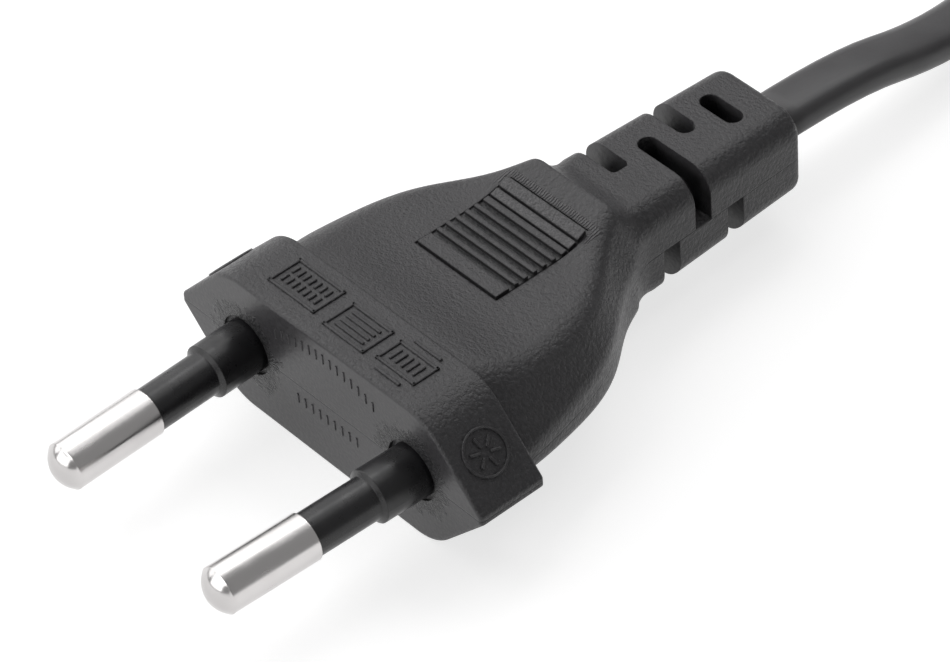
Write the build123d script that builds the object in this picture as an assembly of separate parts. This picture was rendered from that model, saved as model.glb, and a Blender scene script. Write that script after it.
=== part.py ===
from build123d import *
import math
import os

# Moulded two-pin mains plug with a flat two-core lead, in millimetres.
# The origin is on the engagement face, midway between the pins at half height.
# The pins point along -Y, the lead leaves along +Y, and +Z is up.

# Pins
PIN_D = 4.0
PIN_OUT = 19.0
PIN_SPACING_FACE = 19.1
PIN_SPACING_TIP = 17.9
PIN_DOME = 0.9
PIN_EDGE = 0.12
PIN_SHANK_D = 3.0
PIN_SHOULDER_D = 4.6
PIN_SHOULDER_T = 1.0
CRIMP_D = 3.2
CRIMP_LEN = 6.0
CRIMP_BORE_DEPTH = 4.5

# Insulating sleeves
SLEEVE_OUT = 10.0
SLEEVE_D = 3.64
COLLAR_OUT = 4.0
COLLAR_D = 4.5
COLLAR_TAPER = 0.25

# Front flange
FLANGE_HALF_W = 17.3
FLANGE_HALF_H = 6.5
FLANGE_T = 6.2
FLANGE_LAND = 0.4
FLANGE_SLANT = 0.95
FLANGE_TOP_R = 4.6
FLANGE_LAND_R = 0.35
FLANGE_FACE_EDGE = 0.35
FLANGE_REAR_EDGE = 0.25
COLLAR_RECESS_GAP = 0.35
COLLAR_RECESS_DEPTH = 0.3

# Body between the flange and the shoulder
BODY_SIDE_STEP = 2.3
BODY_TOP_STEP = 0.25
WAIST_HALF_H = 5.1
CREST_Y = 25.4
CREST_HALF_W = 6.85
NECK_LEN = 3.2
BODY_WALL = (0.9, 2.3)
BODY_SLANT = (0.93, 0.56)
BODY_LOW_R = (1.5, 2.0)
BODY_TOP_R = (4.0, 2.0)
CREST_EDGE = 0.3

# Share of the way to the crest, then the shares of width, waist and crest there
BODY_FORM = (
    (0.00, 1.000, 0.00, 0.00),
    (0.17, 0.951, 0.55, 0.00),
    (0.35, 0.853, 0.93, 0.00),
    (0.54, 0.703, 1.00, 0.00),
    (0.70, 0.480, 1.00, 0.04),
    (0.82, 0.255, 1.00, 0.34),
    (0.93, 0.085, 1.00, 0.80),
    (1.00, 0.000, 1.00, 1.00),
)
# Share of the neck, then the shares of the drop in width and height there
NECK_FORM = (
    (0.00, 0.00, 0.00),
    (0.20, 0.40, 0.48),
    (0.50, 0.78, 0.86),
    (1.00, 1.00, 1.00),
)

# Ribbed grip pads
PAD_HALF_W = 4.45
PAD_START = 13.35
PAD_FLAT_END = 19.8
PAD_END = 22.5
PAD_PROUD = 0.25
PAD_RISE = 0.85
PAD_MOAT = 0.2
PAD_REAR_MOAT = 0.35
PAD_MOAT_DEPTH = 0.4
PAD_ROOT = 1.0
PAD_LAND = 1.6
RIB_PITCH = 0.95
RIB_COUNT = 6
RIB_GROOVE = 0.58
RIB_DEPTH = 0.32
BAND_COUNT = 3
BAND_GROOVE = 0.22

# Strain relief, front and rear
RELIEF_HALF_W = (5.35, 4.9)
RELIEF_HALF_H = (4.65, 4.25)
RELIEF_CORNER = 1.4
RELIEF_CORNER_R = 2.0
RELIEF_LEN = 16.3
RELIEF_END_R = 0.9
SLOT_W = 1.75
SLOT_FIRST = 1.8
SLOT_PITCH = 3.5
SLOT_INNER_R = 0.45
SLOT_REACH = (0.1, -1.7, -0.4)
OVAL_HALF_LEN = 2.1
CORE_SKIN = 0.7

# Carrier that holds the pins inside the moulding
BRIDGE_HALF_W = 13.2
BRIDGE_HALF_H = 3.2
BRIDGE_T = 4.2
BRIDGE_FRONT = 2.2
BRIDGE_R = 1.6

# Flat two-core lead
CORD_W = 4.9
CORD_T = 3.0
CORE_D = 1.9
CORE_PITCH = 2.1
STRAND_D = 0.95
SHEATH_INSIDE = 18.0
STRIP_GAP = 1.2
CORE_TURN_OUT = 17.6
CORE_TURN_IN = 24.3
CORE_BEND_R = 2.4

# Hank of the put-away length, its turns on edge, side by side and in layers
HANK_X = 11.0
HANK_Y = 127.0
HANK_RUN = 42.0
HANK_INNER_R = 14.0
HANK_PITCH = 3.1
HANK_LAYER = 5.0
HANK_ACROSS = 3
HANK_LAYERS = 3
HANK_CORNER_R = 1.3
# Upright plane at which the lead meets the hank's near end: a point on it, and its heading
LEAD_MEET = (-7.4, 93.95)
LEAD_MEET_ANGLE = 115.6
TIE_W = 4.8
TIE_T = 0.5
TIE_AHEAD = 3.0

# Free end of the lead, lying on the hank
TAIL_GAP = 0.05
TAIL_END = 2.8
TAIL_BEND = 11.8
TAIL_SINK = 4.25
END_CORE_OUT = 24.0
END_SPREAD = 1.6
END_SPREAD_FROM = 0.3
END_SPREAD_TO = 0.7
END_BEND_R = 12.0
FERRULE_D = 1.5
FERRULE_LEN = 8.0
FERRULE_COLLAR_D = 2.7
FERRULE_COLLAR_LEN = 6.0
FERRULE_COLLAR_GRIP = 3.5

# Sizes that follow from the ones above
FLOOR_Z = -FLANGE_HALF_H
CREST_HALF_H = FLANGE_HALF_H
RELIEF_START = CREST_Y + NECK_LEN
RELIEF_END = RELIEF_START + RELIEF_LEN
CORD_ON_FLOOR = FLOOR_Z + CORD_T / 2
HANK_FOOT = FLOOR_Z + TIE_T
HANK_SPREAD = HANK_PITCH * (HANK_ACROSS - 1)
HANK_OUTER_R = HANK_INNER_R + HANK_SPREAD
HANK_H = HANK_LAYER * (HANK_LAYERS - 1) + CORD_W
HANK_TOP = HANK_FOOT + HANK_H
BUNDLE_X = HANK_X + HANK_INNER_R + HANK_SPREAD / 2
BUNDLE_HALF_W = (HANK_SPREAD + CORD_T) / 2
TAIL_Z = HANK_TOP + CORD_T / 2 + TAIL_GAP
BRIDGE_REAR = BRIDGE_FRONT + BRIDGE_T
CRIMP_END = BRIDGE_REAR + PIN_SHOULDER_T + CRIMP_LEN
PAD_TOP = WAIST_HALF_H + PAD_PROUD
PIN_TILT = math.degrees(math.atan2((PIN_SPACING_FACE - PIN_SPACING_TIP) / 2, PIN_OUT))
BODY_HALF_W = FLANGE_HALF_W - BODY_SIDE_STEP
BODY_HALF_H = FLANGE_HALF_H - BODY_TOP_STEP
SLOT_OUTSIDE = 2 * RELIEF_HALF_W[0]
PAD_POCKET_TOP = 2 * FLANGE_HALF_H

SIDES = {"left": -1, "right": 1}
# How near an edge lies to the place it is picked by
NEAR = 0.01


def mix(pair, share):
    return pair[0] + (pair[1] - pair[0]) * share


def eased_corner(before, corner, after, radius):
    """Return the start, middle and end of the arc that rounds one corner."""
    to_before = (Vector(*before) - Vector(*corner)).normalized()
    to_after = (Vector(*after) - Vector(*corner)).normalized()
    half = math.radians(to_before.get_angle(to_after)) / 2
    run = radius / math.tan(half)
    middle_way = (to_before + to_after).normalized()
    centre = Vector(*corner) + middle_way * (radius / math.sin(half))
    return (
        Vector(*corner) + to_before * run,
        centre - middle_way * radius,
        Vector(*corner) + to_after * run,
    )


def section(y, half_w, half_h, wall, slant, low_r, top_r):
    """Return the eight-sided moulding section at y, with its corners rounded."""
    corners = [
        (half_w, wall),
        (half_w - slant, half_h),
        (slant - half_w, half_h),
        (-half_w, wall),
        (-half_w, -wall),
        (slant - half_w, -half_h),
        (half_w - slant, -half_h),
        (half_w, -wall),
    ]
    radii = [low_r, top_r, top_r, low_r] * 2
    count = len(corners)
    arcs = []
    for i in range(count):
        before = corners[i - 1]
        after = corners[(i + 1) % count]
        arcs.append(eased_corner(before, corners[i], after, radii[i]))
    edges = []
    for i in range(count):
        start, middle, end = arcs[i]
        following = arcs[(i + 1) % count][0]
        edges.append(ThreePointArc(start, middle, end))
        edges.append(Line(end, following))
    flat = make_face(edges)
    return Location((0, y, 0), (90, 0, 0)) * flat


def flange_section(y):
    slant = FLANGE_SLANT * (FLANGE_HALF_H - FLANGE_LAND)
    return section(y, FLANGE_HALF_W, FLANGE_HALF_H, FLANGE_LAND, slant, FLANGE_LAND_R, FLANGE_TOP_R)


def body_section(place, width_share, waist_share, crest_share):
    y = FLANGE_T + place * (CREST_Y - FLANGE_T)
    half_w = mix((CREST_HALF_W, BODY_HALF_W), width_share)
    half_h = mix((BODY_HALF_H, WAIST_HALF_H), waist_share)
    half_h = mix((half_h, CREST_HALF_H), crest_share)
    wall = mix(BODY_WALL, place)
    slant = mix(BODY_SLANT, place) * (half_h - wall)
    return section(y, half_w, half_h, wall, slant, mix(BODY_LOW_R, place), mix(BODY_TOP_R, place))


def relief_section(y, place):
    half_h = mix(RELIEF_HALF_H, place)
    wall = half_h - RELIEF_CORNER
    half_w = mix(RELIEF_HALF_W, place)
    return section(y, half_w, half_h, wall, RELIEF_CORNER, RELIEF_CORNER_R, RELIEF_CORNER_R)


def neck_section(place, width_share, height_share):
    y = CREST_Y + place * NECK_LEN
    half_w = mix((CREST_HALF_W, RELIEF_HALF_W[0]), width_share)
    half_h = mix((CREST_HALF_H, RELIEF_HALF_H[0]), height_share)
    wall = mix((BODY_WALL[1], RELIEF_HALF_H[0] - RELIEF_CORNER), place)
    crest_slant = BODY_SLANT[1] * (CREST_HALF_H - BODY_WALL[1])
    slant = mix((crest_slant, RELIEF_CORNER), width_share)
    low_r = mix((BODY_LOW_R[1], RELIEF_CORNER_R), place)
    top_r = mix((BODY_TOP_R[1], RELIEF_CORNER_R), place)
    return section(y, half_w, half_h, wall, slant, low_r, top_r)


def make_flange():
    flange = extrude(flange_section(0), FLANGE_T, dir=(0, 1, 0))
    front = flange.edges().group_by(Axis.Y)[0]
    flange = fillet(front, FLANGE_FACE_EDGE)
    rear = flange.edges().group_by(Axis.Y)[-1]
    return fillet(rear, FLANGE_REAR_EDGE)


def make_middle():
    body = loft([body_section(*row) for row in BODY_FORM])
    neck = loft([neck_section(*row) for row in NECK_FORM])
    return body + neck


def slot_y(index):
    return RELIEF_START + SLOT_FIRST + index * SLOT_PITCH


def squared_slot(index, reach):
    """Return the upper right slot: from x = reach outwards, down to the parting plane."""
    length = SLOT_OUTSIDE - reach
    middle = reach + length / 2
    plan = Pos(middle, slot_y(index)) * RectangleRounded(length, SLOT_W, SLOT_INNER_R)
    return extrude(plan, SLOT_OUTSIDE)


def rounded_slot(index, start, end):
    """Return an upper slot with full round ends, from x = start to x = end."""
    middle = (start + end) / 2
    plan = Pos(middle, slot_y(index)) * SlotOverall(end - start, SLOT_W)
    return extrude(plan, SLOT_OUTSIDE)


def make_relief():
    relief = loft([relief_section(RELIEF_START, 0), relief_section(RELIEF_END, 1)], ruled=True)
    relief = fillet(relief.edges().group_by(Axis.Y)[-1], RELIEF_END_R)
    skin = Plane.XZ * RectangleRounded(
        CORD_W + 2 * CORE_SKIN, CORD_T + 2 * CORE_SKIN, CORD_T / 2
    )
    core = Pos(0, RELIEF_START, 0) * extrude(skin, -RELIEF_LEN)
    first = squared_slot(0, SLOT_REACH[0])
    second = rounded_slot(1, SLOT_REACH[1], SLOT_OUTSIDE)
    third = rounded_slot(2, SLOT_REACH[2], SLOT_OUTSIDE)
    oval = rounded_slot(3, -OVAL_HALF_LEN, OVAL_HALF_LEN)
    cuts = [mirror(first, Plane.YZ), second, mirror(third, Plane.YZ), oval]
    for cut in cuts:
        # Each cut comes again from below, turned half round the lead's axis.
        turned = Rot(0, 180, 0) * cut
        relief -= cut - core
        relief -= turned - core
    return relief


def pad_line(drop, foot, start, end):
    """Return the side profile of the grip pad, from foot up to drop below its top."""
    flat_end = Vector(PAD_FLAT_END, PAD_TOP - drop)
    ramp_end = Vector(PAD_END, PAD_TOP + PAD_RISE - drop)
    ramp_slope = 2 * PAD_RISE / (PAD_END - PAD_FLAT_END)
    last = Vector(end, ramp_end.Y + (end - PAD_END) * ramp_slope)
    top = [
        Line((start, flat_end.Y), flat_end),
        Spline([flat_end, ramp_end], tangents=[(1, 0), (1, ramp_slope)]),
    ]
    if end > PAD_END:
        top.append(Line(ramp_end, last))
    sides = [Line(last, (end, foot)), Line((end, foot), (start, foot)), Line((start, foot), top[0] @ 0)]
    return make_face(top + sides)


def across(profile, half_w):
    """Turn a side profile drawn as (y, z) into a solid that reaches half_w each way in x."""
    return Plane.YZ * extrude(profile, half_w, both=True)


def pad_height(y):
    share = max(0.0, (y - PAD_FLAT_END) / (PAD_END - PAD_FLAT_END))
    return PAD_TOP + PAD_RISE * share * share


def make_pad():
    pad = across(pad_line(0, WAIST_HALF_H - PAD_ROOT, PAD_START, PAD_END), PAD_HALF_W)
    for i in range(RIB_COUNT):
        y = PAD_START + PAD_LAND + i * RIB_PITCH
        depth = RIB_DEPTH + pad_height(y) - PAD_TOP
        pad -= Pos(0, y, PAD_TOP) * Box(3 * PAD_HALF_W, RIB_GROOVE, 2 * depth)
    band_start = PAD_START + PAD_LAND + (RIB_COUNT - 1) * RIB_PITCH
    band = (PAD_END - band_start) / BAND_COUNT
    for i in range(1, BAND_COUNT):
        y = band_start + i * band
        tool = Box(3 * PAD_HALF_W, BAND_GROOVE, 2 * RIB_DEPTH)
        pad -= Pos(0, y, pad_height(y)) * tool
    return pad


def add_pads(body):
    front = PAD_START - PAD_MOAT
    rear = PAD_END + PAD_REAR_MOAT
    side = pad_line(PAD_MOAT_DEPTH, PAD_POCKET_TOP, front, rear)
    pocket = across(side, PAD_HALF_W + PAD_MOAT)
    pad = make_pad()
    for turned in (False, True):
        cut = mirror(pocket, Plane.XY) if turned else pocket
        raised = mirror(pad, Plane.XY) if turned else pad
        body = body - cut + raised
    return body


def pin_frame(side):
    return Location((side * PIN_SPACING_FACE / 2, 0, 0), (0, 0, -side * PIN_TILT))


def turned_piece(outline, side):
    """Revolve an outline of (radius, y) about a pin's axis."""
    face = make_face(outline)
    return pin_frame(side) * revolve(face, Axis.Y)


def make_pin(side):
    r = PIN_D / 2
    shank = PIN_SHANK_D / 2
    shoulder = PIN_SHOULDER_D / 2
    crimp = CRIMP_D / 2
    bore = STRAND_D / 2
    tip = -PIN_OUT
    dome_r = r - PIN_EDGE
    sphere = (dome_r * dome_r + PIN_DOME * PIN_DOME) / (2 * PIN_DOME)
    half = math.asin(dome_r / sphere) / 2
    middle = (sphere * math.sin(half), tip + sphere * (1 - math.cos(half)))
    dome = ThreePointArc((0, tip), middle, (dome_r, tip + PIN_DOME))
    rest = Polyline(
        (dome_r, tip + PIN_DOME),
        (r, tip + PIN_DOME + PIN_EDGE),
        (r, -SLEEVE_OUT),
        (shank, -SLEEVE_OUT),
        (shank, BRIDGE_REAR),
        (shoulder, BRIDGE_REAR),
        (shoulder, BRIDGE_REAR + PIN_SHOULDER_T),
        (crimp, BRIDGE_REAR + PIN_SHOULDER_T),
        (crimp, CRIMP_END),
        (bore, CRIMP_END),
        (bore, CRIMP_END - CRIMP_BORE_DEPTH),
        (0, CRIMP_END - CRIMP_BORE_DEPTH),
        (0, tip),
    )
    return turned_piece([dome, rest], side)


def make_sleeve(side):
    bore = PIN_SHANK_D / 2
    thin = SLEEVE_D / 2
    collar = COLLAR_D / 2
    outline = Polyline(
        (bore, -SLEEVE_OUT),
        (thin, -SLEEVE_OUT),
        (thin, -COLLAR_OUT - COLLAR_TAPER),
        (collar, -COLLAR_OUT),
        (collar, BRIDGE_FRONT),
        (bore, BRIDGE_FRONT),
        close=True,
    )
    return turned_piece([outline], side)


def collar_recess(side):
    r = COLLAR_D / 2 + COLLAR_RECESS_GAP
    hole = Rot(90, 0, 0) * Cylinder(r, 2 * COLLAR_RECESS_DEPTH)
    return pin_frame(side) * hole


def make_bridge():
    plan = RectangleRounded(2 * BRIDGE_HALF_W, 2 * BRIDGE_HALF_H, BRIDGE_R)
    return Pos(0, BRIDGE_FRONT, 0) * extrude(Plane.XZ * plan, -BRIDGE_T)


def core_path(side, start):
    """Return a core's way from a point on its pin's axis to the end of the relief."""
    frame = pin_frame(side)
    first = (frame * Location((0, start, 0))).position
    turn = (frame * Location((0, CORE_TURN_OUT, 0))).position
    x = side * CORE_PITCH / 2
    points = [first, turn, (x, CORE_TURN_IN, 0), (x, RELIEF_END, 0)]
    return FilletPolyline(*points, radius=CORE_BEND_R)


def swept(section_face, path):
    return sweep(Plane(origin=path @ 0, z_dir=path % 0) * section_face, path)


def make_strands(side):
    path = core_path(side, CRIMP_END - CRIMP_BORE_DEPTH)
    return swept(Circle(STRAND_D / 2), path)


def make_core(side):
    path = core_path(side, CRIMP_END + STRIP_GAP)
    return swept(Circle(CORE_D / 2), path)


def cord_outline():
    return SlotOverall(CORD_W, CORD_T)


def make_inner_sheath():
    start = RELIEF_END - SHEATH_INSIDE
    return Pos(0, start, 0) * extrude(Plane.XZ * cord_outline(), -SHEATH_INSIDE)


# The lead's points up to the hank's outer turn, chosen by hand
LEAD_POINTS = [
    (0.0, RELIEF_END, 0.0),
    (0.0, 54.0, 0.0),
    (0.0, 64.0, -2.9),
    (-2.0, 74.0, CORD_ON_FLOOR),
    (-6.6, 84.0, CORD_ON_FLOOR),
    (-9.6, 94.0, CORD_ON_FLOOR + 0.4),
    (-9.6, 98.6, CORD_ON_FLOOR + 0.9),
]
# The free end's points: out of the hank's top layer and along its top
TAIL_POINTS = [
    (BUNDLE_X, HANK_Y - TAIL_END + 2 * TAIL_BEND - 1.0, TAIL_Z - TAIL_SINK),
    (BUNDLE_X, HANK_Y - TAIL_END + TAIL_BEND, TAIL_Z),
    (BUNDLE_X, HANK_Y - TAIL_END, TAIL_Z),
]


def arc_radii(points):
    """Return the largest easy radius at each inner point of a route."""
    radii = []
    for i in range(1, len(points) - 1):
        back = Vector(*points[i]) - Vector(*points[i - 1])
        ahead = Vector(*points[i + 1]) - Vector(*points[i])
        turn = math.radians(back.get_angle(ahead))
        radii.append(0.45 * min(back.length, ahead.length) / math.tan(turn / 2))
    return radii


def flat_tube(points):
    """Sweep the flat lead along the points, its width level."""
    radii = arc_radii(points)
    path = FilletPolyline(*points, radius=radii)
    start = Vector(*points[0])
    ahead = (Vector(*points[1]) - start).normalized()
    level = ahead.cross(Vector(0, 0, 1)).normalized()
    tube = sweep(Plane(origin=start, x_dir=level, z_dir=ahead) * cord_outline(), path)
    print("tube radii", [round(r, 1) for r in radii])
    print("tube length", round(path.length, 1), "volume / (section x length)",
          round(tube.volume / (cord_outline().area * path.length), 4))
    return tube


def hank_plan(radius):
    """Return a long round-ended face whose ends have that radius."""
    face = SlotOverall(HANK_RUN + 2 * radius, 2 * radius)
    return Pos(HANK_X, HANK_Y, HANK_FOOT) * (Rot(0, 0, 90) * face)


def make_hank():
    outer = hank_plan(HANK_OUTER_R + CORD_T / 2)
    inner = hank_plan(HANK_INNER_R - CORD_T / 2)
    ring = extrude(outer - inner, HANK_H)
    level = ring.edges().filter_by(Axis.Z, reverse=True)
    return fillet(level, HANK_CORNER_R)


def hank_side():
    """Return a block on the hank's side of the plane at which the lead meets it."""
    place = Location((*LEAD_MEET, 0), (0, 0, LEAD_MEET_ANGLE))
    return place * (Pos(0, -HANK_OUTER_R, 0) * Box(HANK_OUTER_R, 2 * HANK_OUTER_R, 2 * HANK_H))


def make_tie():
    """Return the band round one side of the hank and the free end on top of it."""
    r = HANK_CORNER_R
    side = BUNDLE_HALF_W - r
    end_side = CORD_W / 2 - r
    core = make_face(
        Polyline(
            (-side, HANK_FOOT + r),
            (side, HANK_FOOT + r),
            (side, HANK_TOP - r),
            (end_side, TAIL_Z + CORD_T / 2 + TAIL_GAP - r),
            (-end_side, TAIL_Z + CORD_T / 2 + TAIL_GAP - r),
            (-side, HANK_TOP - r),
            close=True,
        )
    )
    outline = offset(core, r + TIE_T) - offset(core, r)
    middle = HANK_Y + TIE_AHEAD
    return Pos(BUNDLE_X, middle, 0) * extrude(Plane.XZ * outline, TIE_W / 2, both=True)


def end_core_path(side, length):
    y = side * CORE_PITCH / 2
    out = y + side * END_SPREAD
    bend = length * END_SPREAD_FROM
    straight = length * END_SPREAD_TO
    points = [(0, y, 0), (bend, y, 0), (straight, out, 0), (length, out, 0)]
    return FilletPolyline(*points, radius=END_BEND_R)


def end_place():
    """Return the frame at the end of the sheath, its x along the lead."""
    return Location(TAIL_POINTS[-1], (0, 0, -90))


def make_end_core(side):
    return end_place() * swept(Circle(CORE_D / 2), end_core_path(side, END_CORE_OUT))


def ferrule_frame(side):
    y = side * (CORE_PITCH / 2 + END_SPREAD)
    return end_place() * Location((END_CORE_OUT, y, 0))


def make_ferrule_tube(side):
    tube = Rot(0, 90, 0) * Cylinder(FERRULE_D / 2, FERRULE_LEN)
    return ferrule_frame(side) * (Pos(FERRULE_LEN / 2, 0, 0) * tube)


def make_ferrule_collar(side):
    length = FERRULE_COLLAR_LEN
    collar = Rot(0, 90, 0) * Cylinder(FERRULE_COLLAR_D / 2, length)
    return ferrule_frame(side) * (Pos(length / 2 - FERRULE_COLLAR_GRIP, 0, 0) * collar)


def build():
    """Return each node's solid by name."""
    nodes = {}
    body = make_flange() + make_middle() + make_relief()
    crest = body.edges().filter_by_position(Axis.Y, CREST_Y - NEAR, CREST_Y + NEAR)
    level = crest.filter_by(lambda edge: abs(abs(edge.center().Z) - CREST_HALF_H) < NEAR)
    body = fillet(level, CREST_EDGE)
    body = add_pads(body)
    bridge = make_bridge()
    sheath = make_inner_sheath()
    for name, side in SIDES.items():
        pin = make_pin(side)
        sleeve = make_sleeve(side)
        strands = make_strands(side)
        core = make_core(side)
        body = body - collar_recess(side) - pin - sleeve - strands - core
        bridge = bridge - pin - sleeve
        sheath = sheath - core
        nodes["pin_" + name] = pin
        nodes["sleeve_" + name] = sleeve
        nodes["copper_strands_" + name] = strands
        nodes["core_insulation_" + name] = core - strands
    nodes["pin_bridge"] = bridge
    nodes["sheath_in_plug"] = sheath
    nodes["moulded_body"] = body - bridge - make_inner_sheath()
    hank = make_hank()
    tail = flat_tube(TAIL_POINTS)
    nodes["cord_hank"] = hank
    nodes["hank_tie"] = make_tie() - hank - tail
    nodes["cord_tube"] = flat_tube(LEAD_POINTS) - hank_side()
    nodes["cord_tail"] = tail - hank
    for name, side in SIDES.items():
        tube = make_ferrule_tube(side)
        core = make_end_core(side) - tube
        nodes["end_core_" + name] = core
        nodes["ferrule_tube_" + name] = tube
        nodes["ferrule_collar_" + name] = make_ferrule_collar(side) - tube - core
    return nodes


os.makedirs("parts", exist_ok=True)
for node_name, solid in build().items():
    export_step(solid, "parts/" + node_name + ".step")
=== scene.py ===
import math
import bpy
from mathutils import Matrix, Vector


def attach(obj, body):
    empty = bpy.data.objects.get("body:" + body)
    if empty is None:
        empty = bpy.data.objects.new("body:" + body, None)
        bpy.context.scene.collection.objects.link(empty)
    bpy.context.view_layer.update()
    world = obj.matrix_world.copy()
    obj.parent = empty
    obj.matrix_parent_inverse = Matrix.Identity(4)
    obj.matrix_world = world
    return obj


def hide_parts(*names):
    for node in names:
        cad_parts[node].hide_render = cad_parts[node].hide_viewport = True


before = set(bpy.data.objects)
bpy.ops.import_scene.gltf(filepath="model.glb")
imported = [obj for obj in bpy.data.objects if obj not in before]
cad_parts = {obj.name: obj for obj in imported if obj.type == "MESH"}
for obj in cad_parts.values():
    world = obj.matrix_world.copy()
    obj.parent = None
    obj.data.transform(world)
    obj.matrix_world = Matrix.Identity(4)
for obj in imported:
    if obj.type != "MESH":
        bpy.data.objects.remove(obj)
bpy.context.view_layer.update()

MM = 0.001


# Camera
CAMERA_PLACE = Vector((212.522, -154.911, 251.119)) * MM
CAMERA_TARGET = Vector((1.64, 13.32, 0.0)) * MM
CAMERA_ROLL = math.radians(-4.55)
CAMERA_LENS = 184.114
CAMERA_SENSOR = 36.0
CAMERA_CLIP = (0.01, 10.0)


def add_camera():
    data = bpy.data.cameras.new("camera")
    data.lens = CAMERA_LENS
    data.sensor_width = CAMERA_SENSOR
    data.sensor_fit = "HORIZONTAL"
    data.clip_start, data.clip_end = CAMERA_CLIP
    camera = bpy.data.objects.new("camera", data)
    bpy.context.scene.collection.objects.link(camera)
    ahead = (CAMERA_TARGET - CAMERA_PLACE).normalized()
    right = ahead.cross(Vector((0, 0, 1))).normalized()
    up = right.cross(ahead)
    c, s = math.cos(CAMERA_ROLL), math.sin(CAMERA_ROLL)
    turned_right = right * c + up * s
    turned_up = up * c - right * s
    turn = Matrix((turned_right, turned_up, -ahead)).transposed()
    camera.matrix_world = Matrix.Translation(CAMERA_PLACE) @ turn.to_4x4()
    bpy.context.scene.camera = camera


add_camera()


# Lead, in millimetres
FLOOR_Z = -6.5
CORD_W = 4.9
CORD_T = 3.0
RELIEF_END = 44.9
LEAD_POINTS = [
    (0.0, RELIEF_END, 0.0),
    (0.0, 54.0, 0.0),
    (0.0, 64.0, -2.9),
    (-2.0, 74.0, -4.9),
    (-6.6, 84.0, -4.45),
    (-10.0, 94.0, -4.05),
    (-10.45, 103.0, -3.75),
]
HANK_X = 10.7
HANK_RADII = (21.1, 18.05, 15.0)
HANK_LAYERS = (-3.55, 1.45, 6.45)
# Where the folds of each layer are centred, at the near end and at the far end
NEAR_FOLDS = (106.8, 108.6, 110.0)
FAR_FOLDS = (147.2, 145.4, 144.0)
# Each fold of the hank in turn: radius and layer as it begins, radius and layer as it ends
FOLDS = [
    (0, 0, 0, 0), (1, 0, 1, 0),
    (1, 0, 1, 0), (2, 0, 2, 0),
    (2, 0, 2, 1), (2, 1, 2, 1),
    (1, 1, 1, 1), (1, 1, 1, 1),
    (0, 1, 0, 1), (0, 1, 0, 2),
    (0, 2, 0, 2), (1, 2, 1, 2),
    (1, 2, 1, 2), (2, 2, 2, 2),
    (2, 2, 2, 2),
]
FOLD_STEPS = 8
RUN_LEAD = 6.0
# What is added to the heights of the last fold, which climbs onto the hank
LAST_FOLD_RISE = (0.8, 1.6, 2.4, 3.2, 4.0, 4.6, 4.9, 4.9, 4.9)
# The free end, on top of the hank
TAIL_POINTS = [(26.2, 138.5, 11.3), (28.1, 131.5, 10.47), (28.1, 124.2, 10.47)]
# Metres along the lead at which it starts to turn on edge, and over how many it turns
ON_EDGE_START, ON_EDGE_OVER = 0.028, 0.026
# Metres before its end at which it starts to turn flat again, and over how many it turns
FLAT_BEFORE_END, FLAT_OVER = 0.044, 0.028


def ease(value):
    value = min(1.0, max(0.0, value))
    return value * value * (3 - 2 * value)


def fold_points(index, fold):
    """Return the points of one fold, with one more on the straight run before it and after it."""
    far = index % 2 == 0
    centres = FAR_FOLDS if far else NEAR_FOLDS
    # A fold that climbs keeps the centre that clears its neighbours in both layers.
    centre = min(centres[fold[1]], centres[fold[3]])
    turn = 180.0 / FOLD_STEPS
    points = []
    for k in range(-1, FOLD_STEPS + 1):
        share = ease((k + 0.5) / FOLD_STEPS)
        radius = HANK_RADII[fold[0]] + share * (HANK_RADII[fold[2]] - HANK_RADII[fold[0]])
        height = HANK_LAYERS[fold[1]] + share * (HANK_LAYERS[fold[3]] - HANK_LAYERS[fold[1]])
        if k in (-1, FOLD_STEPS):
            side = -1 if (k == -1) == far else 1
            x = HANK_X + side * radius
            y = centre - RUN_LEAD if far else centre + RUN_LEAD
        else:
            angle = math.radians(180.0 - turn * (k + 0.5) - (0 if far else 180.0))
            reach = radius / math.cos(math.radians(turn / 2))
            x = HANK_X + reach * math.cos(angle)
            y = centre + reach * math.sin(angle)
        points.append((x, y, height))
    return points


def route_points():
    points = list(LEAD_POINTS)
    for index, fold in enumerate(FOLDS):
        points += fold_points(index, fold)
    points.pop()
    first = len(points) - len(LAST_FOLD_RISE)
    for k, rise in enumerate(LAST_FOLD_RISE, first):
        x, y, z = points[k]
        points[k] = (x, y, z + rise)
    return points + TAIL_POINTS


def smooth_line(points):
    """Return points read from the smooth NURBS line of a route, in metres."""
    curve = bpy.data.curves.new("lead_line", "CURVE")
    curve.dimensions = "3D"
    curve.resolution_u = 6
    spline = curve.splines.new("NURBS")
    spline.points.add(len(points) - 1)
    for point, place in zip(spline.points, points):
        point.co = (place[0] * MM, place[1] * MM, place[2] * MM, 1.0)
    spline.order_u = 3
    spline.use_endpoint_u = True
    holder = bpy.data.objects.new("lead_line", curve)
    bpy.context.scene.collection.objects.link(holder)
    mesh = bpy.data.meshes.new_from_object(holder)
    line = [vertex.co.copy() for vertex in mesh.vertices]
    bpy.data.objects.remove(holder)
    bpy.data.meshes.remove(mesh)
    bpy.data.curves.remove(curve)
    return line


def link_mesh(name, vertices, faces, smooth=True):
    mesh = bpy.data.meshes.new(name)
    mesh.from_pydata([tuple(v) for v in vertices], [], faces)
    mesh.validate()
    for polygon in mesh.polygons:
        polygon.use_smooth = smooth
    piece = bpy.data.objects.new(name, mesh)
    bpy.context.scene.collection.objects.link(piece)
    return piece


def distances(line):
    total = [0.0]
    for a, b in zip(line, line[1:]):
        total.append(total[-1] + (b - a).length)
    return total


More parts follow.
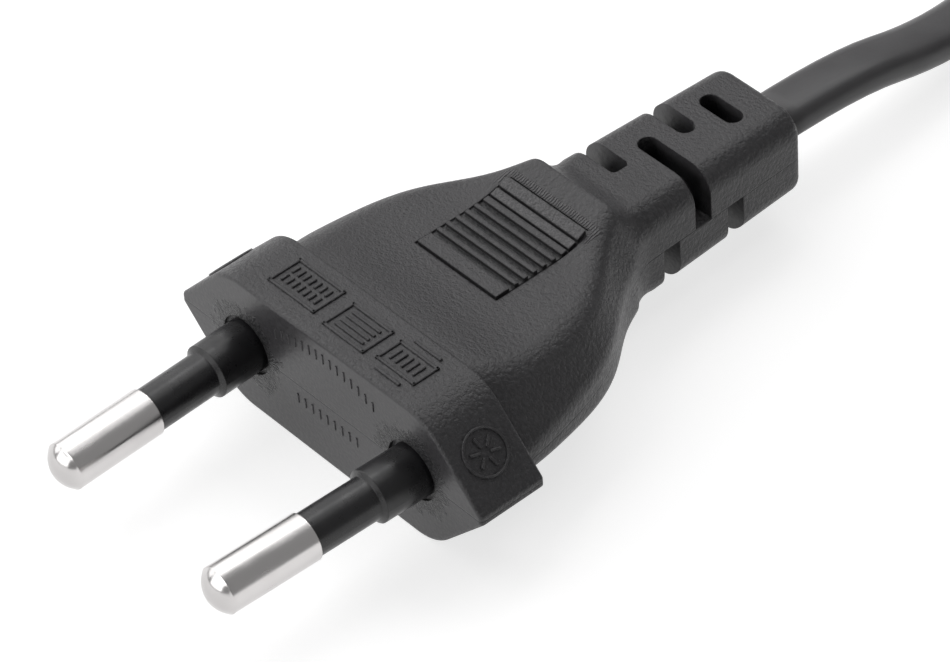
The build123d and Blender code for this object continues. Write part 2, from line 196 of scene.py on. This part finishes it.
def cord_outline(steps=9):
    """Return the flat lead's section as (across, up) points, in metres."""
    r = CORD_T / 2
    reach = CORD_W / 2 - r
    outline = []
    for side in (1, -1):
        for i in range(steps):
            angle = -math.pi / 2 + math.pi * i / (steps - 1)
            across = side * (reach + r * math.cos(angle))
            up = side * r * math.sin(angle)
            outline.append((across * MM, up * MM))
    return outline


def lead_twist(gone, total):
    """Return the lead's turn in radians, at a place given in metres along a lead of that total."""
    on_edge = ease((gone - ON_EDGE_START) / ON_EDGE_OVER)
    off_edge = ease((gone - (total - FLAT_BEFORE_END)) / FLAT_OVER)
    return math.pi / 2 * (on_edge - off_edge)


def lead_frame(line, index, twist):
    """Return the directions across the lead and up from it at one point of its line."""
    before = line[max(index - 1, 0)]
    after = line[min(index + 1, len(line) - 1)]
    ahead = (after - before).normalized()
    level = ahead.cross(Vector((0, 0, 1))).normalized()
    up = level.cross(ahead)
    c, s = math.cos(twist), math.sin(twist)
    return level * c + up * s, up * c - level * s


def make_lead():
    line = smooth_line(route_points())
    gone = distances(line)
    outline = cord_outline()
    count = len(outline)
    vertices = []
    faces = []
    for i, centre in enumerate(line):
        across, up = lead_frame(line, i, lead_twist(gone[i], gone[-1]))
        for a, b in outline:
            vertices.append(centre + across * a + up * b)
    # These faces are wound with their normals pointing inward.
    for i in range(len(line) - 1):
        for k in range(count):
            a = i * count + k
            b = i * count + (k + 1) % count
            faces.append((a, b, b + count, a + count))
    faces.append(tuple(reversed(range(count))))
    last = (len(line) - 1) * count
    faces.append(tuple(last + k for k in range(count)))
    lead = link_mesh("lead", vertices, faces)
    for polygon in lead.data.polygons[-2:]:
        polygon.use_smooth = False
    return lead, line


lead, lead_line = make_lead()


# Floor and light, in metres
FLOOR_REACH = 3
FLOOR_COLOUR = (0.50, 0.50, 0.50, 1)
FLOOR_GLOW = 0.73
WORLD_LIGHT = 0.06
WORLD_GLOSS = 0.30
WHITE = (1, 1, 1, 1)
# Name, place, target, width and height, and power in watts
SOFTBOXES = [
    ("key", (-0.50, -0.08, 0.46), (0, 0.02, 0), (0.95, 0.95), 4.6),
    ("top", (-0.10, 0.42, 0.55), (0, 0.02, 0), (0.5, 0.35), 1.3),
    ("front", (-0.14, -0.60, 0.20), (0, 0, 0), (0.55, 0.32), 1.35),
]


def new_material(name):
    material = bpy.data.materials.new(name)
    material.use_nodes = True
    nodes = material.node_tree.nodes
    links = material.node_tree.links
    shader = nodes["Principled BSDF"]
    return material, nodes, links, shader


def make_floor():
    corners = [
        (x * FLOOR_REACH, y * FLOOR_REACH, FLOOR_Z * MM)
        for x, y in ((-1, -1), (1, -1), (1, 1), (-1, 1))
    ]
    floor = link_mesh("floor", corners, [(0, 1, 2, 3)], smooth=False)
    material, nodes, links, shader = new_material("pale_floor")
    shader.inputs["Base Color"].default_value = FLOOR_COLOUR
    shader.inputs["Roughness"].default_value = 0.75
    shader.inputs["Specular IOR Level"].default_value = 0.2
    path = nodes.new("ShaderNodeLightPath")
    seen = nodes.new("ShaderNodeMath")
    seen.operation = "MAXIMUM"
    links.new(path.outputs["Is Camera Ray"], seen.inputs[0])
    links.new(path.outputs["Is Glossy Ray"], seen.inputs[1])
    glow = nodes.new("ShaderNodeMath")
    glow.operation = "MULTIPLY"
    glow.inputs[1].default_value = FLOOR_GLOW
    links.new(seen.outputs[0], glow.inputs[0])
    shader.inputs["Emission Color"].default_value = WHITE
    links.new(glow.outputs[0], shader.inputs["Emission Strength"])
    floor.data.materials.append(material)


def make_world():
    world = bpy.data.worlds.new("studio")
    bpy.context.scene.world = world
    world.use_nodes = True
    nodes = world.node_tree.nodes
    links = world.node_tree.links
    background = nodes["Background"]
    background.inputs["Color"].default_value = WHITE
    path = nodes.new("ShaderNodeLightPath")
    strength = None
    for ray, value in (("Is Glossy Ray", WORLD_GLOSS), ("Is Camera Ray", 1.0)):
        seen = nodes.new("ShaderNodeMix")
        seen.data_type = "FLOAT"
        seen.inputs["A"].default_value = WORLD_LIGHT
        if strength is not None:
            links.new(strength, seen.inputs["A"])
        seen.inputs["B"].default_value = value
        links.new(path.outputs[ray], seen.inputs["Factor"])
        strength = seen.outputs["Result"]
    links.new(strength, background.inputs["Strength"])


def add_softbox(name, place, target, size, power):
    data = bpy.data.lights.new(name, "AREA")
    data.shape = "RECTANGLE"
    data.size = size[0]
    data.size_y = size[1]
    data.energy = power
    lamp = bpy.data.objects.new(name, data)
    lamp.location = place
    back = (Vector(place) - Vector(target)).normalized()
    lamp.rotation_euler = back.to_track_quat("Z", "Y").to_euler()
    bpy.context.scene.collection.objects.link(lamp)


make_floor()
make_world()
for softbox in SOFTBOXES:
    add_softbox(*softbox)


# Materials
BEVEL_SAMPLES = 4
MM_IN_METRE = 1000.0
# Places on the moulding in millimetres, each pair from and to. Y runs from the face to the lead,
# widths and heights are taken from the middle.
GRIP_Y = (13.3, 22.6)
GRIP_HALF_W = 4.42
GRIP_TOP = 5.35
GRIP_CLIMB_Y = (19.8, 22.5)
GRIP_CLIMB = 0.85
GROOVE_DEPTH = (0.05, 0.13)
BANDS_Y = (20.7, 22.6)
BANDS_HALF_W = 4.4
STRIP_Y = (22.95, 23.5)
STRIP_HALF_W = 4.9
STRIP_CORNER_Y = (21.9, 23.4)
STRIP_CORNER_X = (4.7, 5.2)
GAP_Y = (22.58, 22.84)
GAP_HALF_W = 4.35
REAR_TOP = (4.9, 5.3)
PIN_X = 9.55
RING_R = (3.1, 4.5)
RING_WANDER = 0.7
FACE_Y = (0.1, 0.5)
RELIEF_Y = (28.6, RELIEF_END)
RELIEF_HALF_W, RELIEF_NARROWS = 5.35, 0.45
RELIEF_HALF_H, RELIEF_LOWERS = 4.65, 0.4
SLOTS_Y = (28.9, 44.3)
SLOT_DEPTH = (0.65, 1.7)
PARTING_H = (0.03, 0.09)
PIN_TIP_Y = (-19.0, -17.4)
NICKEL = (0.70, 0.68, 0.675)


class Paint:
    """Adds nodes to one material."""

    def __init__(self, name):
        self.material, self.nodes, self.links, self.shader = new_material(name)
        self.place = self.nodes.new("ShaderNodeTexCoord").outputs["Object"]

    def math(self, operation, a, b=None, clamp=False):
        node = self.nodes.new("ShaderNodeMath")
        node.operation = operation
        node.use_clamp = clamp
        for socket, value in zip(node.inputs, (a, b)):
            if value is None:
                continue
            if isinstance(value, (int, float)):
                socket.default_value = value
            else:
                self.links.new(value, socket)
        return node.outputs[0]

    def times(self, first, *others):
        for other in others:
            first = self.math("MULTIPLY", first, other)
        return first

    def noise(self, scale, detail=3.0, rough=0.55, stretch=None):
        node = self.nodes.new("ShaderNodeTexNoise")
        node.inputs["Scale"].default_value = scale
        node.inputs["Detail"].default_value = detail
        node.inputs["Roughness"].default_value = rough
        if stretch is None:
            self.links.new(self.place, node.inputs["Vector"])
        else:
            mapping = self.nodes.new("ShaderNodeMapping")
            mapping.inputs["Scale"].default_value = stretch
            self.links.new(self.place, mapping.inputs["Vector"])
            self.links.new(mapping.outputs[0], node.inputs["Vector"])
        return node.outputs["Fac"]

    def waves(self, direction, scale, settings=()):
        """Return bands, with more of the node's inputs set as (name, value) pairs."""
        node = self.nodes.new("ShaderNodeTexWave")
        node.wave_type = "BANDS"
        node.bands_direction = direction
        for name, value in (("Scale", scale), *settings):
            node.inputs[name].default_value = value
        self.links.new(self.place, node.inputs["Vector"])
        return node.outputs["Fac"]

    def axes(self, vector=None):
        node = self.nodes.new("ShaderNodeSeparateXYZ")
        self.links.new(self.place if vector is None else vector, node.inputs[0])
        return node.outputs

    def normal(self):
        node = self.nodes.new("ShaderNodeNewGeometry")
        return self.axes(node.outputs["Normal"])

    def ramp(self, value, low, high, to_low, to_high, shape="SMOOTHSTEP"):
        node = self.nodes.new("ShaderNodeMapRange")
        node.interpolation_type = shape
        self.links.new(value, node.inputs["Value"])
        node.inputs["From Min"].default_value = low
        node.inputs["From Max"].default_value = high
        node.inputs["To Min"].default_value = to_low
        node.inputs["To Max"].default_value = to_high
        return node.outputs[0]

    def below(self, value, high, soft):
        """Return 1 below that value, fading to 0 within soft on either side of it."""
        return self.ramp(value, high - soft, high + soft, 1, 0)

    def between(self, value, low, high, soft):
        """Return 1 from low to high, fading to 0 within soft on either side of both."""
        rise = self.ramp(value, low - soft, low + soft, 0, 1)
        return self.times(rise, self.below(value, high, soft))

    def mix(self, share, a, b):
        node = self.nodes.new("ShaderNodeMix")
        node.data_type = "RGBA"
        self.links.new(share, node.inputs["Factor"])
        for socket, value in ((node.inputs[6], a), (node.inputs[7], b)):
            if isinstance(value, tuple):
                socket.default_value = (*value, 1)
            else:
                self.links.new(value, socket)
        return node.outputs[2]

    def fix(self, name, value):
        """Set one of the shader's own inputs."""
        self.shader.inputs[name].default_value = value

    def colour(self, value):
        self.links.new(value, self.shader.inputs["Base Color"])

    def roughness(self, value):
        self.links.new(value, self.shader.inputs["Roughness"])

    def bumps(self, *layers, edge=0.0):
        """Stack bumps, each (height, distance in mm, strength), on rounded edges."""
        normal = None
        if edge:
            bevel = self.nodes.new("ShaderNodeBevel")
            bevel.samples = BEVEL_SAMPLES
            bevel.inputs["Radius"].default_value = edge * MM
            normal = bevel.outputs[0]
        for height, distance, strength in layers:
            node = self.nodes.new("ShaderNodeBump")
            node.inputs["Strength"].default_value = strength
            node.inputs["Distance"].default_value = distance * MM
            self.links.new(height, node.inputs["Height"])
            if normal is not None:
                self.links.new(normal, node.inputs["Normal"])
            normal = node.outputs[0]
        self.links.new(normal, self.shader.inputs["Normal"])


def moulded_pvc():
    """Black PVC with a finely eroded skin, smoother on the face, lighter where it is rough."""
    p = Paint("moulded_pvc")
    x, y, z = [p.times(axis, MM_IN_METRE) for axis in p.axes()]
    nx, ny, _ = p.normal()
    grain = p.noise(6500, 2.0)
    peel = p.noise(3000, 2.5, 0.55)
    cloud = p.noise(130, 2.0)
    height = p.math("ABSOLUTE", z)
    side = p.math("ABSOLUTE", x)

    base = p.mix(cloud, (0.040, 0.039, 0.041), (0.050, 0.048, 0.051))
    base = p.mix(p.ramp(peel, 0.4, 0.7, 0, 0.5), base, (0.066, 0.064, 0.068))

    # The rear bands of the grip and the strip behind it are eroded more coarsely.
    high = p.ramp(height, *REAR_TOP, 0, 1)
    hatch = p.waves("X", 1250, (("Distortion", 3.5), ("Detail", 3.0), ("Detail Scale", 2.0)))
    band = p.times(p.between(y, *BANDS_Y, 0.15), p.below(side, BANDS_HALF_W, 0.05), high)
    strip = p.times(p.between(y, *STRIP_Y, 0.12), p.below(side, STRIP_HALF_W, 0.15))
    corner = p.times(p.between(y, *STRIP_CORNER_Y, 0.25), p.between(side, *STRIP_CORNER_X, 0.15))
    strip = p.times(p.math("MAXIMUM", strip, corner), high)
    strip_light = p.times(strip, p.ramp(hatch, 0.25, 0.8, 0.1, 1))
    band_light = p.times(band, p.ramp(grain, 0.4, 0.65, 0.1, 0.8))
    light = p.math("MAXIMUM", strip_light, band_light)
    base = p.mix(light, base, (0.125, 0.122, 0.125))

    # The grooves of the grip are darkened with painted shade against the ribs between them.
    climb = p.ramp(y, *GRIP_CLIMB_Y, 0, 1, "LINEAR")
    pad_top = p.math("ADD", GRIP_TOP, p.times(GRIP_CLIMB, p.times(climb, climb)))
    groove_shade = p.ramp(p.math("SUBTRACT", pad_top, height), *GROOVE_DEPTH, 0, 1)
    groove_shade = p.times(groove_shade, p.between(y, *GRIP_Y, 0.05), p.below(side, GRIP_HALF_W, 0.05))
    base = p.mix(p.times(groove_shade, 0.75), base, (0.010, 0.010, 0.011))

    # A narrow groove, drawn as a bump, parts the rearmost band from the strip behind it; painted
    # shade darkens it.
    shaded_gap = p.times(p.between(y, *GAP_Y, 0.05), p.below(side, GAP_HALF_W, 0.06), high)
    base = p.mix(p.times(shaded_gap, 0.85), base, (0.008, 0.008, 0.009))

    # The face is darker round each sleeve, in a mottled ring with a wandering edge, and keeps more
    # of its grain there.
    across = p.math("SUBTRACT", side, PIN_X)
    out = p.math("SQRT", p.math("ADD", p.times(across, across), p.times(height, height)))
    out = p.math("ADD", out, p.ramp(p.noise(900, 3.0), 0.3, 0.7, -RING_WANDER, RING_WANDER))
    ring = p.times(p.ramp(out, *RING_R, 1, 0), p.ramp(y, *FACE_Y, 1, 0))
    ring = p.times(ring, p.ramp(p.noise(5200, 3.0), 0.42, 0.62, 1.0, 0.4))
    base = p.mix(p.times(ring, 0.95), base, (0.010, 0.010, 0.011))

    # Painted shade darkens the slots of the relief, more the deeper they go.
    taper = p.ramp(y, *RELIEF_Y, 0, 1, "LINEAR")
    half_w = p.math("SUBTRACT", RELIEF_HALF_W, p.times(RELIEF_NARROWS, taper))
    half_h = p.math("SUBTRACT", RELIEF_HALF_H, p.times(RELIEF_LOWERS, taper))
    depth = p.math("MINIMUM", p.math("SUBTRACT", half_w, side), p.math("SUBTRACT", half_h, height))
    slot_shade = p.times(p.ramp(depth, *SLOT_DEPTH, 0, 1), p.between(y, *SLOTS_Y, 0.1))
    base = p.mix(p.times(slot_shade, 0.8), base, (0.006, 0.006, 0.007))

    # The parting line runs round the ends, sides and relief, and fainter across the face.
    front = p.ramp(ny, -0.95, -0.8, 1, 0)
    sideways = p.ramp(p.math("ABSOLUTE", nx), 0.35, 0.6, 0, 1)
    sideways = p.math("MAXIMUM", sideways, p.times(front, 0.6))
    parting = p.times(p.ramp(height, *PARTING_H, 1, 0), sideways)
    base = p.mix(p.times(parting, 0.7), base, (0.012, 0.012, 0.013))
    p.colour(base)

    rough = p.ramp(peel, 0.3, 0.7, 0.36, 0.50)
    rough = p.math("SUBTRACT", rough, p.times(front, 0.08))
    p.roughness(p.math("ADD", rough, p.times(light, 0.2), clamp=True))
    p.fix("Specular IOR Level", 0.45)
    calm = p.math("SUBTRACT", 1.0, p.times(front, 0.82))
    calm = p.math("MAXIMUM", calm, p.times(ring, 0.8))
    p.bumps(
        (p.times(peel, calm), 0.13, 0.85),
        (p.times(grain, calm), 0.05, 0.7),
        (p.times(hatch, strip), 0.12, 0.7),
        (p.math("SUBTRACT", 1.0, parting), 0.04, 0.8),
        (p.math("SUBTRACT", 1.0, shaded_gap), 0.25, 0.9),
        edge=0.18,
    )
    return p.material


def nickel():
    """Bright plating with faint polishing lines, a slight haze and a painted shade on the domed
    end.
    """
    p = Paint("nickel")
    lines = p.noise(900, 3.0, 0.6, stretch=(1.0, 0.06, 1.0))
    haze = p.noise(260, 2.0)
    plated = p.mix(haze, NICKEL, tuple(0.9 * c for c in NICKEL))
    along = p.times(p.axes()[1], MM_IN_METRE)
    # The domed end's colour is darkened: painted shade that dims its reflection.
    tip_shade = p.ramp(along, *PIN_TIP_Y, 0.45, 0.0)
    p.colour(p.mix(tip_shade, plated, tuple(0.55 * c for c in NICKEL)))
    p.fix("Metallic", 1.0)
    hazy = p.ramp(haze, 0.3, 0.7, 0.16, 0.24)
    p.roughness(p.math("ADD", hazy, p.ramp(lines, 0.45, 0.8, 0.0, 0.08)))
    p.bumps((lines, 0.006, 0.25), edge=0.1)
    return p.material


def sleeve_plastic():
    """Smooth black plastic, faintly scuffed."""
    p = Paint("sleeve_plastic")
    peel = p.noise(1500, 2.0)
    scuff = p.noise(420, 4.0, 0.65)
    p.colour(p.mix(peel, (0.014, 0.014, 0.015), (0.022, 0.021, 0.023)))
    p.roughness(p.ramp(scuff, 0.35, 0.7, 0.26, 0.40))
    p.bumps((peel, 0.02, 0.3), (scuff, 0.008, 0.3), edge=0.12)
    return p.material


def sheath_pvc(name, low, high, rough=(0.40, 0.54)):
    """Drawn PVC: faint lines along it, a fine grain and a slight bloom."""
    p = Paint(name)
    grain = p.noise(4200, 2.0)
    bloom = p.noise(210, 3.0)
    p.colour(p.mix(bloom, low, high))
    p.roughness(p.ramp(bloom, 0.3, 0.7, rough[0], rough[1]))
    p.bumps((grain, 0.016, 0.45), (p.noise(700, 2.0), 0.03, 0.3))
    return p.material


def tinned():
    """Tinned copper with a slight haze."""
    p = Paint("tinned_copper")
    lines = p.noise(1600, 3.0, 0.6)
    haze = p.noise(500, 2.0)
    p.colour(p.mix(haze, (0.66, 0.65, 0.63), (0.80, 0.79, 0.76)))
    p.fix("Metallic", 1.0)
    p.roughness(p.ramp(haze, 0.3, 0.7, 0.24, 0.40))
    p.bumps((lines, 0.02, 0.4), edge=0.08)
    return p.material


def copper():
    """Fine bare strands, drawn as twisted ridges."""
    p = Paint("copper_strands")
    twist = p.waves("DIAGONAL", 1400)
    p.colour(p.mix(p.noise(800), (0.72, 0.40, 0.24), (0.85, 0.52, 0.34)))
    p.fix("Metallic", 1.0)
    p.roughness(p.ramp(twist, 0, 1, 0.38, 0.25))
    p.bumps((twist, 0.06, 0.8))
    return p.material


def strap_fabric():
    """Woven tie band."""
    p = Paint("strap_fabric")
    weave = p.waves("DIAGONAL", 1100)
    cloud = p.noise(600, 3.0)
    p.colour(p.mix(weave, (0.018, 0.018, 0.02), (0.05, 0.05, 0.054)))
    p.roughness(p.ramp(cloud, 0.3, 0.7, 0.75, 0.9))
    p.fix("Sheen Weight", 0.3)
    p.bumps((weave, 0.08, 0.7), (cloud, 0.04, 0.4))
    return p.material


def dress(node, material):
    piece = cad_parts[node]
    if not piece.material_slots:
        piece.data.materials.append(material)
    for slot in piece.material_slots:
        slot.material = material


pvc = moulded_pvc()
sheath = sheath_pvc("lead_sheath", (0.066, 0.064, 0.067), (0.090, 0.088, 0.091), (0.34, 0.46))
blue = sheath_pvc("blue_core", (0.020, 0.095, 0.32), (0.030, 0.13, 0.42), (0.35, 0.5))
brown = sheath_pvc("brown_core", (0.13, 0.055, 0.026), (0.19, 0.085, 0.042), (0.35, 0.5))
grey_collar = sheath_pvc("ferrule_grey", (0.50, 0.51, 0.52), (0.60, 0.61, 0.62), (0.45, 0.6))
carrier = sheath_pvc("carrier_grey", (0.10, 0.10, 0.10), (0.14, 0.14, 0.14), (0.5, 0.6))
plating = nickel()
tin = tinned()
sleeve = sleeve_plastic()
strands = copper()

lead.data.materials.append(sheath)
dress("moulded_body", pvc)
dress("pin_bridge", carrier)
dress("sheath_in_plug", sheath)
for side_name, core_paint in (("left", blue), ("right", brown)):
    dress("pin_" + side_name, plating)
    dress("sleeve_" + side_name, sleeve)
    dress("copper_strands_" + side_name, strands)
    dress("core_insulation_" + side_name, core_paint)
    dress("end_core_" + side_name, core_paint)
    dress("ferrule_tube_" + side_name, tin)
    dress("ferrule_collar_" + side_name, grey_collar)


# Plain raised marks, in millimetres
MARK_H = 0.15
MARK_W = 0.26
MARK_EDGE = 0.05
MARK_ROOT = -0.06
BAR_W = 0.22
SPOKE_W = 0.24
RING_W = 0.2
RING_STEPS = 56
FACE_BAR_W, FACE_BAR_H = 0.2, 0.07
SLOPE_X = 14.58
SLOPE_Z = 3.26
SLOPE = (0.689, 0.7247)


def mark_profile(width, height):
    """Return the section of a raised stroke as (across, up) points."""
    half = width / 2
    return [
        (-half, MARK_ROOT), (-half, height - MARK_EDGE), (MARK_EDGE - half, height),
        (half - MARK_EDGE, height), (half, height - MARK_EDGE), (half, MARK_ROOT),
    ]


class Marks:
    """Collects raised strokes, drawn in millimetres on flat places of the moulding."""

    def __init__(self):
        self.vertices = []
        self.faces = []

    def rings(self, rings, closed):
        """Join rings of points. Where u x v points along n, the normals point inward."""
        start = len(self.vertices)
        size = len(rings[0])
        for ring in rings:
            self.vertices += [point * MM for point in ring]
        spans = len(rings) if closed else len(rings) - 1
        for i in range(spans):
            here = start + i * size
            there = start + ((i + 1) % len(rings)) * size
            for k in range(size):
                after = (k + 1) % size
                self.faces.append((here + k, here + after, there + after, there + k))
        if not closed:
            self.faces.append(tuple(start + k for k in reversed(range(size))))
            last = start + (len(rings) - 1) * size
            self.faces.append(tuple(last + k for k in range(size)))

    def bar(self, place, start, end, width=MARK_W, height=MARK_H):
        origin, u, v, n = place
        a = Vector(start)
        b = Vector(end)
        ahead = (b - a).normalized()
        rings = []
        for point in (a - ahead * width / 2, b + ahead * width / 2):
            ring = []
            for across, up in mark_profile(width, height):
                spot = point + Vector((-ahead.y, ahead.x)) * across
                ring.append(origin + u * spot.x + v * spot.y + n * up)
            rings.append(ring)
        self.rings(rings, False)

    def frame(self, place, low, high):
        corners = [(low[0], low[1]), (high[0], low[1]), (high[0], high[1]), (low[0], high[1])]
        for i in range(4):
            self.bar(place, corners[i], corners[(i + 1) % 4])

    def columns(self, place, first, step, count, *spans):
        """Draw upright bars side by side, one in each span from low to high."""
        for i in range(count):
            x = first + step * i
            for low, high in spans:
                self.bar(place, (x, low), (x, high), BAR_W)

    def circle(self, place, radius):
        origin, u, v, n = place
        rings = []
        for i in range(RING_STEPS):
            angle = math.tau * i / RING_STEPS
            c, s = math.cos(angle), math.sin(angle)
            ring = []
            for across, up in mark_profile(RING_W, MARK_H):
                reach = radius - across
                ring.append(origin + u * (reach * c) + v * (reach * s) + n * up)
            rings.append(ring)
        self.rings(rings, True)


def make_marks():
    """Put plain frames, bars and rings on the flange and two rows of bars on the face."""
    marks = Marks()
    x_axis = Vector((1, 0, 0))
    y_axis = Vector((0, 1, 0))
    z_axis = Vector((0, 0, 1))
    top = (Vector((0, 0, 6.5)), x_axis, y_axis, z_axis)
    marks.frame(top, (-8.1, 1.85), (-3.0, 4.85))
    marks.columns(top, -7.45, 0.63, 7, (2.55, 3.1), (3.65, 4.2))
    marks.frame(top, (-1.5, 1.6), (2.9, 4.5))
    for i in range(4):
        y = 2.2 + 0.56 * i
        marks.bar(top, (-0.8, y), (2.2, y), BAR_W)
    marks.frame(top, (4.1, 2.0), (8.2, 4.3))
    marks.columns(top, 4.85, 0.65, 5, (2.65, 3.65))
    marks.bar(top, (4.9, 5.1), (7.6, 5.1))
    marks.bar(top, (4.9, 1.2), (7.4, 1.2))
    for side in (1, -1):
        along = Vector((SLOPE[0] * side, 0, -SLOPE[1]))
        out = Vector((SLOPE[1] * side, 0, SLOPE[0]))
        slope = (Vector((SLOPE_X * side, 3.05, SLOPE_Z)), along, y_axis, out)
        marks.circle(slope, 1.85)
        for i in range(6):
            angle = math.tau * (i + 0.25) / 6
            c, s = math.cos(angle), math.sin(angle)
            marks.bar(slope, (0.55 * c, 0.55 * s), (1.2 * c, 1.2 * s), SPOKE_W)
    face = (Vector((0, 0, 0)), -x_axis, z_axis, -y_axis)
    for i in range(15):
        x = -5.6 + 0.8 * i
        z = 4.9 - 0.035 * x * x
        marks.bar(face, (-x, z - 0.35), (-x, z + 0.35), FACE_BAR_W, FACE_BAR_H)
    for i in range(9):
        x = -3.6 + 0.85 * i
        marks.bar(face, (-x, -1.85), (-x, -1.15), FACE_BAR_W, FACE_BAR_H)
    return link_mesh("plain_marks", marks.vertices, marks.faces, smooth=False)


plain_marks = make_marks()
plain_marks.data.materials.append(pvc)
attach(plain_marks, "root")


# Tie, in millimetres
TIE_T = 0.5
TIE_WIDTH = 4.8
TIE_PLACE = (28.1, 130.0)
TIE_CORNER_R = 1.3
TIE_CORNER_STEPS = 5
TIE_EDGE = 0.09
TIE_CLEARANCE = 0.02
TIE_CORNERS = [(3.3, -4.7), (3.3, 7.6), (1.15, 10.7), (-1.15, 10.7), (-3.3, 7.6), (-3.3, -4.7)]


def make_tie():
    """Wrap a strap round one side of the hank and the free end on top of it."""
    path = []
    count = len(TIE_CORNERS)
    for i in range(count):
        here = Vector(TIE_CORNERS[i])
        to_here = here - Vector(TIE_CORNERS[i - 1])
        away = Vector(TIE_CORNERS[(i + 1) % count]) - here
        start = math.atan2(-to_here.x, to_here.y)
        turned = to_here.angle_signed(away)
        for k in range(TIE_CORNER_STEPS + 1):
            path.append((here, start - turned * k / TIE_CORNER_STEPS))
    half = TIE_WIDTH / 2
    inset = half - TIE_EDGE
    top = TIE_T - TIE_EDGE
    profile = [
        (-inset, TIE_CLEARANCE), (-half, TIE_EDGE), (-half, top), (-inset, TIE_T),
        (-half / 3, TIE_T), (half / 3, TIE_T),
        (inset, TIE_T), (half, top), (half, TIE_EDGE), (inset, TIE_CLEARANCE),
    ]
    vertices = []
    for corner, angle in path:
        for along, out in profile:
            reach = TIE_CORNER_R + out
            x = TIE_PLACE[0] + corner.x + reach * math.cos(angle)
            z = corner.y + reach * math.sin(angle)
            vertices.append((x * MM, (TIE_PLACE[1] + along) * MM, z * MM))
    faces = []
    ring = len(profile)
    for i in range(len(path)):
        following = ((i + 1) % len(path)) * ring
        for k in range(ring):
            after = (k + 1) % ring
            faces.append((i * ring + k, i * ring + after, following + after, following + k))
    return link_mesh("tie_strap", vertices, faces)


tie = make_tie()
tie.data.materials.append(strap_fabric())
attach(tie, "root")
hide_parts("hank_tie")

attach(lead, "root")
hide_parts("cord_tube", "cord_hank", "cord_tail")


# Finish
scene = bpy.context.scene
scene.view_settings.view_transform = "Standard"
